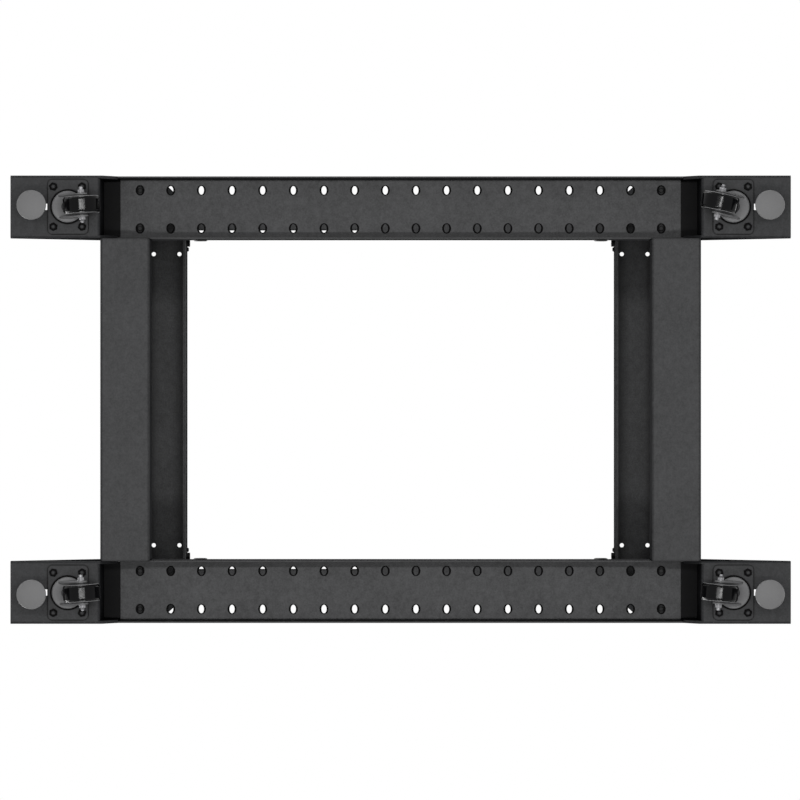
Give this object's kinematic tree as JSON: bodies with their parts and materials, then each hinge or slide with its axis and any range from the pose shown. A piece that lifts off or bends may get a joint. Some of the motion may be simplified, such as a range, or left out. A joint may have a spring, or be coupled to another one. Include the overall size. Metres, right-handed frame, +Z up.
{
  "type": "four post open frame rack",
  "caption": "Open steel rack with four posts for 19-inch equipment, on swivel casters and levelling feet, with outrigger feet and telescoping top rails.",
  "frame": {"origin": "middle of the footprint, on the surface under the levelling pads", "axes": "+Z up, +X to the right seen from the front, the front faces -Y"},
  "size_m": [0.6, 1.044, 1.352],
  "materials": {
    "frame_powder": "fine textured black powder coat",
    "zinc_steel": "dull zinc plate",
    "foot_pad": "moulded grey plastic",
    "wheel_nylon": "moulded black nylon"
  },
  "bodies": {
    "frame": {"side_rail_left": "frame_powder", "top_rail_outer_left": "frame_powder", "top_rail_inner_left": "frame_powder", "side_rail_right": "frame_powder", "top_rail_outer_right": "frame_powder", "top_rail_inner_right": "frame_powder", "base_cross_front": "frame_powder", "top_cross_front": "frame_powder", "base_cross_rear": "frame_powder", "top_cross_rear": "frame_powder", "foot_front_left": "frame_powder", "post_front_left": "frame_powder", "caster_plate_front_left": "frame_powder", "foot_front_right": "frame_powder", "post_front_right": "frame_powder", "caster_plate_front_right": "frame_powder", "foot_rear_left": "frame_powder", "post_rear_left": "frame_powder", "caster_plate_rear_left": "frame_powder", "foot_rear_right": "frame_powder", "post_rear_right": "frame_powder", "caster_plate_rear_right": "frame_powder"},
    "fork_front_left": {"caster_fork_front_left": "zinc_steel", "caster_axle_front_left": "zinc_steel"},
    "wheel_front_left": {"caster_wheel_front_left": "wheel_nylon", "wheel_guards_front_left": "zinc_steel"},
    "leveller_front_left": {"levelling_foot_front_left": "foot_pad"},
    "fork_front_right": {"caster_fork_front_right": "zinc_steel", "caster_axle_front_right": "zinc_steel"},
    "wheel_front_right": {"caster_wheel_front_right": "wheel_nylon", "wheel_guards_front_right": "zinc_steel"},
    "leveller_front_right": {"levelling_foot_front_right": "foot_pad"},
    "fork_rear_left": {"caster_fork_rear_left": "zinc_steel", "caster_axle_rear_left": "zinc_steel"},
    "wheel_rear_left": {"caster_wheel_rear_left": "wheel_nylon", "wheel_guards_rear_left": "zinc_steel"},
    "leveller_rear_left": {"levelling_foot_rear_left": "foot_pad"},
    "fork_rear_right": {"caster_fork_rear_right": "zinc_steel", "caster_axle_rear_right": "zinc_steel"},
    "wheel_rear_right": {"caster_wheel_rear_right": "wheel_nylon", "wheel_guards_rear_right": "zinc_steel"},
    "leveller_rear_right": {"levelling_foot_rear_right": "foot_pad"}
  },
  "joints": [
    {"name": "swivel_front_left", "type": "hinge", "parent": "frame", "child": "fork_front_left", "pos_m": [-0.258, -0.445, 0.065], "axis": [0, 0, 1], "range_deg": [-86.5, 93.5]},
    {"name": "spin_front_left", "type": "hinge", "parent": "fork_front_left", "child": "wheel_front_left", "pos_m": [-0.25672, -0.42404, 0.0275], "axis": [-0.9981, 0.061, 0], "continuous": true},
    {"name": "screw_front_left", "type": "slide", "parent": "frame", "child": "leveller_front_left", "axis": [0, 0, 1], "range_m": [-0.01, 0.05]},
    {"name": "swivel_front_right", "type": "hinge", "parent": "frame", "child": "fork_front_right", "pos_m": [0.258, -0.445, 0.065], "axis": [0, 0, 1], "range_deg": [-87, 93]},
    {"name": "spin_front_right", "type": "hinge", "parent": "fork_front_right", "child": "wheel_front_right", "pos_m": [0.2591, -0.42403, 0.0275], "axis": [-0.9986, 0.0523, 0], "continuous": true},
    {"name": "screw_front_right", "type": "slide", "parent": "frame", "child": "leveller_front_right", "axis": [0, 0, 1], "range_m": [-0.01, 0.05]},
    {"name": "swivel_rear_left", "type": "hinge", "parent": "frame", "child": "fork_rear_left", "pos_m": [-0.258, 0.445, 0.065], "axis": [0, 0, 1], "range_deg": [-95, 85]},
    {"name": "spin_rear_left", "type": "hinge", "parent": "fork_rear_left", "child": "wheel_rear_left", "pos_m": [-0.25617, 0.42408, 0.0275], "axis": [0.9962, 0.0872, 0], "continuous": true},
    {"name": "screw_rear_left", "type": "slide", "parent": "frame", "child": "leveller_rear_left", "axis": [0, 0, 1], "range_m": [-0.01, 0.05]},
    {"name": "swivel_rear_right", "type": "hinge", "parent": "frame", "child": "fork_rear_right", "pos_m": [0.258, 0.445, 0.065], "axis": [0, 0, 1], "range_deg": [-102, 78]},
    {"name": "spin_rear_right", "type": "hinge", "parent": "fork_rear_right", "child": "wheel_rear_right", "pos_m": [0.26237, 0.42446, 0.0275], "axis": [0.9781, 0.2079, 0], "continuous": true},
    {"name": "screw_rear_right", "type": "slide", "parent": "frame", "child": "leveller_rear_right", "axis": [0, 0, 1], "range_m": [-0.01, 0.05]}
  ]
}
